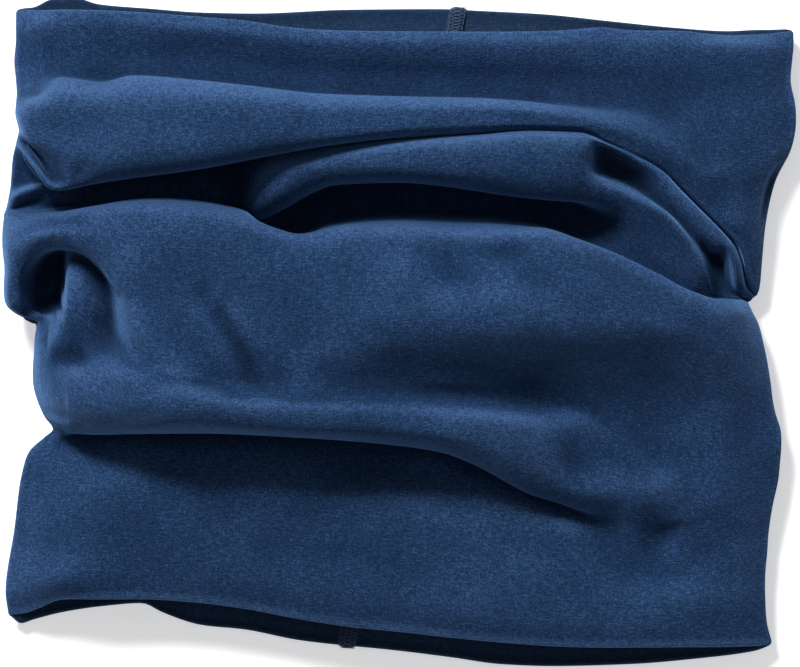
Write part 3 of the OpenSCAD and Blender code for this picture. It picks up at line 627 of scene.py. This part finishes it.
# painted light: highlight on crests and rims, shade in creases; the lining's inner face takes it turned
# round
painted_light = paint_fold_light(skin, normal)
courses = course_anchors(len(painted_light))
shell = tube_mesh("shell_velour_tube", face_at(0), face_at(SHELL_T), courses)
lining = tube_mesh("lining_velour_tube", face_at(LINING_OUT), face_at(LINING_IN), courses)
add_painted_light(shell, painted_light)
add_painted_light(lining, -painted_light)


# ---------------------------------------------------------------- sewing
def seam_x(y):
    """The back seam's place across at height y: the rims are turned against each other."""
    return SEAM_BOTTOM_X + (SEAM_TOP_X - SEAM_BOTTOM_X) * (y / LYING_L + 0.5)


class Face:
    """A face of the tube that things are sewn to: two grids of rings, 1 mm apart."""

    def __init__(self, low, high):
        self.low, self.high = low, high
        first = len(STATIONS)
        off = low[:, first:, 0] - seam_x(low[:, first:, 1])
        cols = np.arange(first, low.shape[1])
        self.seam = np.array([np.interp(0, o[::-1], cols[::-1]) for o in off])
        mid = self.seam.astype(int)
        rows = np.arange(len(low))
        self.gap = np.linalg.norm(low[rows, mid + 1] - low[rows, mid], axis=1)
        path = self.spot(rows.astype(float), self.seam, np.zeros(len(low)))
        self.run = run_along(path)
        self.y = path[:, 1]
        self.length = self.run[-1]

    def spot(self, i, j, h):
        """Points at ring i and column j, h above the face."""
        rings, n = self.low.shape[:2]
        i = np.clip(i, 0, rings - 1.001)
        i0, j0 = i.astype(int), np.floor(j).astype(int)
        fi, fj = (i - i0)[:, None], (j - j0)[:, None]
        j0, j1 = j0 % n, (j0 + 1) % n

        def at(grid):
            near = grid[i0, j0] * (1 - fj) + grid[i0, j1] * fj
            far = grid[i0 + 1, j0] * (1 - fj) + grid[i0 + 1, j1] * fj
            return near * (1 - fi) + far * fi
        low = at(self.low)
        return low + (at(self.high) - low) * np.asarray(h)[:, None]

    def by_seam(self, s, d, h):
        """Points s along the back seam, d beside it towards +X and h above the face."""
        s, d, h = np.broadcast_arrays(*(np.asarray(a, float) for a in (s, d, h)))
        rows = np.arange(len(self.seam))
        i = np.interp(s.ravel(), self.run, rows)
        j = np.interp(i, rows, self.seam) - d.ravel() / np.interp(i, rows, self.gap)
        return self.spot(i, j, h.ravel()).reshape(*s.shape, 3)


def threads(name, paths, radius=THREAD_R, sides=5):
    """Sewing threads as one mesh: a round tube along each path."""
    verts, faces = [], []
    turn = np.arange(sides) * 2 * math.pi / sides
    for path in paths:
        along = unit(np.gradient(path, axis=0))
        side = unit(np.cross(along, np.tile([0.0, 0.0, 1.0], (len(path), 1))), 1e-6)
        up = np.cross(side, along)
        ring = (side[:, None] * np.cos(turn)[:, None] + up[:, None] * np.sin(turn)[:, None]) * radius
        start = len(verts)
        verts += (path[:, None] + ring).reshape(-1, 3).tolist()
        for p in range(start, start + (len(path) - 1) * sides, sides):
            for b in range(sides):
                c = (b + 1) % sides
                faces.append((p + b, p + c, p + sides + c, p + sides + b))
        end = start + (len(path) - 1) * sides
        faces.append(tuple(range(start + sides - 1, start - 1, -1)))
        faces.append(tuple(range(end, end + sides)))
    return mesh_object(name, verts, faces)


def grid_faces(rows, cols, start=0, flip=False):
    faces = []
    for a in range(rows - 1):
        for b in range(cols - 1):
            p = start + a * cols + b
            quad = (p, p + 1, p + cols + 1, p + cols)
            faces.append(quad[::-1] if flip else quad)
    return faces


BAND_STEP = 1.1                # distance between the crossings of a seam's strip


def band(name, face, margin, low, high, waves):
    """Closed strip along the back seam: the overlapped and stitched edges of the cloth."""
    s = np.arange(margin, face.length - margin, BAND_STEP)
    across = np.linspace(-1, 1, 11)
    d = across * SEAM_W / 2
    top = low + (high - low) * (1 - np.abs(across) ** 4)
    ripple = waves * np.sin(2 * math.pi * s / STITCH)[:, None] * (1 - across**2)
    upper = face.by_seam(s[:, None], d, top + ripple)
    under = face.by_seam(s[:, None], d * 0.98, np.full(len(d), low - 0.06))
    rows, cols = len(s), len(d)
    verts = np.concatenate([upper.reshape(-1, 3), under.reshape(-1, 3)])
    n = rows * cols
    faces = grid_faces(rows, cols) + grid_faces(rows, cols, n, flip=True)
    for a in range(rows - 1):
        p, q = a * cols, a * cols + cols - 1
        faces += [(p, p + cols, n + p + cols, n + p), (q + cols, q, n + q, n + q + cols)]
    for b in range(cols - 1):
        p, q = b, n - cols + b
        faces += [(p + 1, p, n + p, n + p + 1), (q, q + 1, n + q + 1, n + q)]
    return mesh_object(name, verts, faces)


def saw(phase):
    """A zigzag between -1 and 1, once for each whole phase."""
    return np.abs((phase % 1) * 2 - 1) * 2 - 1


ARCH, SUNK = 0.22, 0.12        # height of a stitch's arch, and depth of its ends in the cloth
COVERS = ((0, 1, 0.05), (0.5, 0.8, 0.12))  # the cover threads' shift, reach and height


def flatlock(name, face, height, margin=1.0):
    """Threads of a flatlock: a row of stitches by each edge and two cover threads between."""
    ends = margin, face.length - margin
    paths = []
    t = np.linspace(0, 1, 6)
    for d in (-NEEDLES, NEEDLES):
        for s in np.arange(ends[0], ends[1] - STITCH, STITCH):
            lift = height + ARCH * np.sin(math.pi * t) - SUNK
            paths.append(face.by_seam(s + 0.1 + t * (STITCH - 0.25), d, lift))
    s = np.arange(ends[0], ends[1], STITCH / 8)
    phase = (s - ends[0]) / STITCH
    for shift, reach, above in COVERS:
        zigzag = saw(phase + shift)
        paths.append(face.by_seam(s, zigzag * NEEDLES * reach, height + above + 0.06 * (1 - zigzag**2)))
    return threads(name, paths)


def join(name, parts):
    """One object from several, each with its own material slot."""
    bpy.ops.object.select_all(action="DESELECT")
    for part in parts:
        part.select_set(True)
    bpy.context.view_layer.objects.active = parts[0]
    bpy.ops.object.join()
    parts[0].name = name
    return parts[0]


def round_rims(lining_grid, shell_grid):
    return np.concatenate([shell_grid[WRAP:0:-1], lining_grid, shell_grid[-2:-WRAP - 1:-1]])


outside = Face(face_at(0), face_at(-1))
between = Face(face_at(SHELL_T), face_at(SHELL_T + 1))
inside = Face(round_rims(face_at(LINING_IN), face_at(0)),
              round_rims(face_at(LINING_IN + 1), face_at(-1)))

# The shell's seam: overlapped edges between the plies, stitches on the outer face
shell_edges = band("shell_back_seam_edges", between, 8, 0.05, 0.5, 0.0)
shell_stitches = flatlock("shell_back_seam_stitches", outside, 0.02)

# The lining's seam lies on the inner face and laps over both rims
lining_edges = band("lining_back_seam_edges", inside, 0.6, 0.0, 0.62, 0.07)
lining_stitches = flatlock("lining_back_seam_stitches", inside, 0.62)


# ---------------------------------------------------------------- rim seams
SEAM_GAP = 0.08                # gap between a seam allowance and the cloth on each side
LOOP_REACH, LOOP_PAST = 2.2, 0.3           # rings from the edge to a loop's foot and to its head
LOOP_MIDDLE, LOOP_TILT = 0.5, 0.9          # height of an overlock's loops, and how far they tilt
LAST = len(skin) + NOSE        # first of the rings that go round the bottom rim's edge


def rim_seam(name, first, last, edge):
    """Seam allowance of a rim between the plies: a strip all round, and its edge stitches."""
    low, high = face_at(SHELL_T + SEAM_GAP), face_at(LINING_OUT - SEAM_GAP)
    strip = tube_mesh(name + "_strip", low[first:last], high[first:last])
    n = low.shape[1]
    run = run_along(low[edge][np.arange(n + 1) % n])
    t = np.arange(0, run[-1] - OVERLOCK, OVERLOCK / 6)
    j = np.interp(t, run, np.arange(n + 1))
    swing = np.abs((t / OVERLOCK % 1) * 2 - 1)
    pull = 1 if edge > first else -1
    i = edge - pull * swing * LOOP_REACH + pull * LOOP_PAST
    path = Face(low, high).spot(i, j, LOOP_MIDDLE + LOOP_TILT * (0.5 - swing))
    return strip, threads(name + "_loops", [path], radius=0.12, sides=4)


top_strip, top_loops = rim_seam("top_rim_seam", NOSE, NOSE + RIM_SEAM, NOSE + RIM_SEAM - 1)
low_strip, low_loops = rim_seam("bottom_rim_seam", LAST - RIM_SEAM, LAST, LAST - RIM_SEAM)


# ---------------------------------------------------------------- care label
LABEL_HELD = 1.2               # length of the label that the seam holds
LABEL_CURL, LABEL_BOW = 0.7, 0.25          # how far its end lifts, and its upper half bows
LABEL_BEND_R = 0.42            # roundness of its fold


def label_profile():
    """Centre line of the folded tape: out from the seam, round the fold and back."""
    reach, r = SEAM_W / 2 + LABEL_L, LABEL_BEND_R
    out = [(d, LABEL_LIFT + LABEL_T / 2 + LABEL_CURL * ((d - 2) / reach) ** 2)
           for d in np.linspace(SEAM_W / 2 - LABEL_HELD, reach - r, 14)]
    d0, h0 = out[-1]
    fold = [(d0 + r * math.sin(a), h0 + r * (1 - math.cos(a)))
            for a in np.linspace(0.35, math.pi - 0.35, 7)]
    back = [(d, h + 2 * r + LABEL_BOW * math.sin(math.pi * (d - 2) / reach)) for d, h in out[::-1]]
    return np.array(out + fold + back)


def care_label():
    line = label_profile()
    along = unit(np.gradient(line, axis=0))
    side = np.column_stack([along[:, 1], -along[:, 0]])
    loop = np.concatenate([line + side * LABEL_T / 2, (line - side * LABEL_T / 2)[::-1]])
    middle = np.interp(-LABEL_Y, -inside.y, inside.run)
    s = middle + np.linspace(-1, 1, 15) * LABEL_W / 2
    verts = inside.by_seam(s[:, None], loop[:, 0], loop[:, 1])
    rows, cols = verts.shape[:2]
    faces = grid_faces(rows, cols)
    for p in range(0, (rows - 1) * cols, cols):
        faces.append((p + cols - 1, p, p + cols, p + 2 * cols - 1))
    for end, flip in ((0, False), ((rows - 1) * cols, True)):
        for b in range(cols // 2 - 1):
            quad = (end + b, end + cols - 1 - b, end + cols - 2 - b, end + b + 1)
            faces.append(quad[::-1] if flip else quad)
    tape = mesh_object("care_label_tape", verts.reshape(-1, 3), faces)
    t = np.linspace(0, 1, 5)
    lift = 1.5 + 0.2 * np.sin(math.pi * t)
    steps = np.arange(-LABEL_W / 2 + 1, LABEL_W / 2 - 2, 2.2)
    paths = [inside.by_seam(middle + step + 1.8 * t, SEAM_W / 2 + 0.9, lift) for step in steps]
    return tape, threads("care_label_stitches", paths)


label_tape, label_stitches = care_label()


# ---------------------------------------------------------------- materials
class Nodes:
    """Short names for building a material's nodes."""

    def __init__(self, name):
        self.mat = bpy.data.materials.new(name)
        self.mat.use_nodes = True
        self.tree = self.mat.node_tree
        self.shader = self.tree.nodes["Principled BSDF"]
        self.solid = self.add("TexCoord").outputs["Object"]

    def add(self, kind, inputs=None, **settings):
        node = self.tree.nodes.new("ShaderNode" + kind)
        for key, value in settings.items():
            setattr(node, key, value)
        for key, value in (inputs or {}).items():
            self.put(node.inputs[key], value)
        return node

    def put(self, socket, value):
        if isinstance(value, bpy.types.NodeSocket):
            self.tree.links.new(value, socket)
        else:
            socket.default_value = value

    def shade(self, **inputs):
        """Sets the shader's inputs, named with an underscore for each space."""
        for key, value in inputs.items():
            self.put(self.shader.inputs[key.replace("_", " ")], value)

    def bump(self, height, strength, distance):
        return self.add("Bump", {"Height": height, "Strength": strength,
                                 "Distance": distance}).outputs["Normal"]

    def math(self, operation, a, b):
        return self.add("Math", {0: a, 1: b}, operation=operation).outputs[0]

    def weigh(self, parts):
        """Sum of sockets, each times its weight."""
        total = 0.0
        for socket, weight in parts:
            node = self.add("Math", {0: socket, 1: weight, 2: total}, operation="MULTIPLY_ADD")
            total = node.outputs[0]
        return total

    def noise(self, scale, detail, roughness, where=None):
        return self.add("TexNoise", {"Vector": where or self.solid, "Scale": scale, "Detail": detail,
                                     "Roughness": roughness}).outputs["Fac"]

    def wave(self, scale, distortion, **settings):
        return self.add("TexWave", {"Vector": self.solid, "Scale": scale,
                                    "Distortion": distortion}, **settings).outputs["Fac"]

    def ramp(self, value, stops):
        node = self.add("ValToRGB", {"Fac": value})
        ramp = node.color_ramp
        while len(ramp.elements) < len(stops):
            ramp.elements.new(0.5)
        for element, (place, colour) in zip(ramp.elements, stops):
            element.position = place
            element.color = (*colour, 1)
        return node.outputs["Color"]

    def stretched(self, where, x, y):
        return self.add("Mapping", {"Vector": where, "Scale": (x, y, 1)}).outputs["Vector"]


SHEEN, SHEEN_ROUGHNESS, SHEEN_TINT = 0.5, 0.4, (0.20, 0.47, 1.0, 1)


def velour(name, tones, grain=1.0):
    """Brushed knit: fine courses round the tube, upright pile, light fibre tips, and painted light: a
    painted highlight on crests and rims and painted shade in creases. tones are the colours of the pile's
    depth, which also gives the painted shade, its face, and its tips, which also give the painted
    highlight."""
    n = Nodes(name)
    cloth = n.add("UVMap", uv_map="cloth").outputs["UV"]
    # painted light per point: highlight on crests and rims, shade in creases
    painted_light_at = n.add("Attribute", attribute_name="painted_light").outputs["Fac"]
    pile = n.noise(2100, 2.0, 0.7)
    courses = n.noise(1.0, 2.0, 0.6, n.stretched(cloth, 450, 1650))
    wales = n.noise(1.0, 1.0, 0.5, n.stretched(cloth, 1650, 400))
    tufts = n.noise(650, 2.0, 0.5)
    patches = n.noise(70, 2.0, 0.5)
    drift = n.noise(16, 1.0, 0.5)
    cells = n.add("TexVoronoi", {"Vector": n.solid, "Scale": 900.0})
    tip = n.math("LESS_THAN", cells.outputs["Distance"], 0.24)
    chosen = n.math("GREATER_THAN", n.add("SeparateColor", {
        "Color": cells.outputs["Color"]}).outputs["Red"], 0.86)
    tips = n.math("MULTIPLY", tip, chosen)
    fine = [(pile, 0.95), (courses, 0.55), (wales, 0.22), (tufts, 0.18)]
    broad = [(patches, 0.18), (drift, 0.16)]
    # the last part adds the painted highlight on crests and rims and the painted shade in creases
    tone = n.weigh([(part, weight * grain) for part, weight in fine] + broad
                   + [(tips, 0.16 * grain), (painted_light_at, 0.26)])
    middle = sum(w for _, w in fine) * grain / 2 + sum(w for _, w in broad) / 2
    tone = n.math("SUBTRACT", tone, middle - 0.5)
    rough = n.weigh([(pile, 0.2), (tufts, 0.1)])
    height = n.weigh([(pile, 0.55), (courses, 0.55), (wales, 0.2), (tufts, 0.5), (tips, 0.25)])
    n.shade(Base_Color=n.ramp(tone, list(zip((0.12, 0.5, 0.9), tones))),
            Roughness=n.math("ADD", rough, 0.78), Normal=n.bump(height, 0.55 * grain, 0.0006),
            Specular_IOR_Level=0.15, Sheen_Weight=SHEEN, Sheen_Roughness=SHEEN_ROUGHNESS,
            Sheen_Tint=SHEEN_TINT)
    return n.mat


def thread(name, dark, light):
    """Spun thread: fine twisted strands along it, a soft gloss and stray fibres."""
    n = Nodes(name)
    strands = n.wave(900.0, 3.0)
    fibres = n.noise(3000, 3.0, 0.6)
    tone = n.weigh([(strands, 0.5), (fibres, 0.5)])
    n.shade(Base_Color=n.ramp(tone, [(0.2, dark), (0.8, light)]),
            Roughness=n.math("ADD", n.math("MULTIPLY", fibres, 0.3), 0.45),
            Normal=n.bump(tone, 0.5, 0.0001), Sheen_Weight=0.4, Sheen_Roughness=0.4)
    return n.mat


def tape(name, dark, light):
    """Woven satin tape: fine crossing yarns, slightly soiled and creased, with no print."""
    n = Nodes(name)
    warp = n.wave(1100.0, 0.6, bands_direction="X")
    weft = n.wave(700.0, 0.8, bands_direction="Y")
    soil = n.noise(180, 4.0, 0.6)
    weave = n.weigh([(warp, 0.35), (weft, 0.35)])
    tone = n.weigh([(weave, 0.6), (soil, 0.6)])
    n.shade(Base_Color=n.ramp(tone, [(0.25, dark), (0.75, light)]),
            Roughness=n.math("ADD", n.math("MULTIPLY", soil, 0.25), 0.3),
            Normal=n.bump(weave, 0.35, 0.0001))
    return n.mat


shell_cloth = velour("shell_velour", ((0.0004, 0.0055, 0.0190), (0.0076, 0.0290, 0.0830),
                                      (0.0460, 0.1020, 0.2350)))
lining_cloth = velour("lining_velour", ((0.0010, 0.0060, 0.0170), (0.0100, 0.0280, 0.0690),
                                        (0.0400, 0.0800, 0.1720)), grain=0.8)
blue_thread = thread("seam_thread", (0.010, 0.026, 0.062), (0.055, 0.105, 0.20))
white_tape = tape("label_tape", (0.60, 0.58, 0.54), (0.86, 0.85, 0.82))
DRESSED = [(shell_cloth, (shell, shell_edges, top_strip)),
           (lining_cloth, (lining, lining_edges, low_strip)),
           (blue_thread, (shell_stitches, lining_stitches, top_loops, low_loops, label_stitches)),
           (white_tape, (label_tape,))]
for material, parts in DRESSED:
    for part in parts:
        part.data.materials.append(material)

shell_seam = join("shell_flatlock_seam", [shell_edges, shell_stitches])
lining_seam = join("lining_flatlock_seam", [lining_edges, lining_stitches])
top_rim = join("top_rim_overlock", [top_strip, top_loops])
bottom_rim = join("bottom_rim_overlock", [low_strip, low_loops])
label = join("blank_care_label", [label_tape, label_stitches])

# ---------------------------------------------------------------- what each piece is
PIECES = [(shell, "shell_tube", "shell_velour"), (lining, "lining_tube", "lining_velour"),
          (shell_seam, "shell_back_seam", "seam_thread"),
          (lining_seam, "lining_back_seam", "seam_thread"),
          (top_rim, "top_rim_seam", "seam_thread"), (bottom_rim, "bottom_rim_seam", "seam_thread"),
          (label, "care_label", "label_tape")]
for piece, node, slot in PIECES:
    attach(piece, "root")
    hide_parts(node)

# ---------------------------------------------------------------- studio, metres
FLOOR_Z = -1.1                 # mm: the back seam's stitches stand a little below the cloth
WHITE = (1, 1, 1, 1)
scene = bpy.context.scene
scene.view_settings.view_transform = "Standard"
floor_mesh = bpy.data.meshes.new("floor")
floor_mesh.from_pydata([(-2, -2, 0), (2, -2, 0), (2, 2, 0), (-2, 2, 0)], [], [(0, 1, 2, 3)])
floor = in_scene(bpy.data.objects.new("floor", floor_mesh))
floor.location.z = FLOOR_Z * MM
pale = bpy.data.materials.new("pale_floor")
pale.use_nodes = True
for key, value in {"Base Color": (0.9, 0.9, 0.9, 1), "Roughness": 0.9,
                   "Emission Color": WHITE, "Emission Strength": 0.45}.items():
    pale.node_tree.nodes["Principled BSDF"].inputs[key].default_value = value
floor_mesh.materials.append(pale)

world = bpy.data.worlds.new("studio")
scene.world = world
world.use_nodes = True
sky = world.node_tree.nodes["Background"].inputs
sky["Color"].default_value = WHITE
sky["Strength"].default_value = 0.28

KEY_SIZE, KEY_POWER, KEY_PLACE = 0.6, 92, (-0.9, 1.76, 1.7)
light = bpy.data.lights.new("key", "AREA")
light.size = KEY_SIZE
light.energy = KEY_POWER
key = in_scene(bpy.data.objects.new("key", light))
key.location = KEY_PLACE
key.rotation_euler = (-key.location).to_track_quat("-Z", "Y").to_euler()

CAM_Z = 3.0
FOCUS_Z = 0.006                # height at which the photo's width is measured
VIEW_W = 0.2535                # width that the photo takes in at that height
cam_data = bpy.data.cameras.new("camera")
cam_data.sensor_width = 36
cam_data.lens = cam_data.sensor_width * (CAM_Z - FOCUS_Z) / VIEW_W
cam_data.clip_end = 10
cam = in_scene(bpy.data.objects.new("camera", cam_data))
cam.location = (0, 0, CAM_Z)
scene.camera = cam
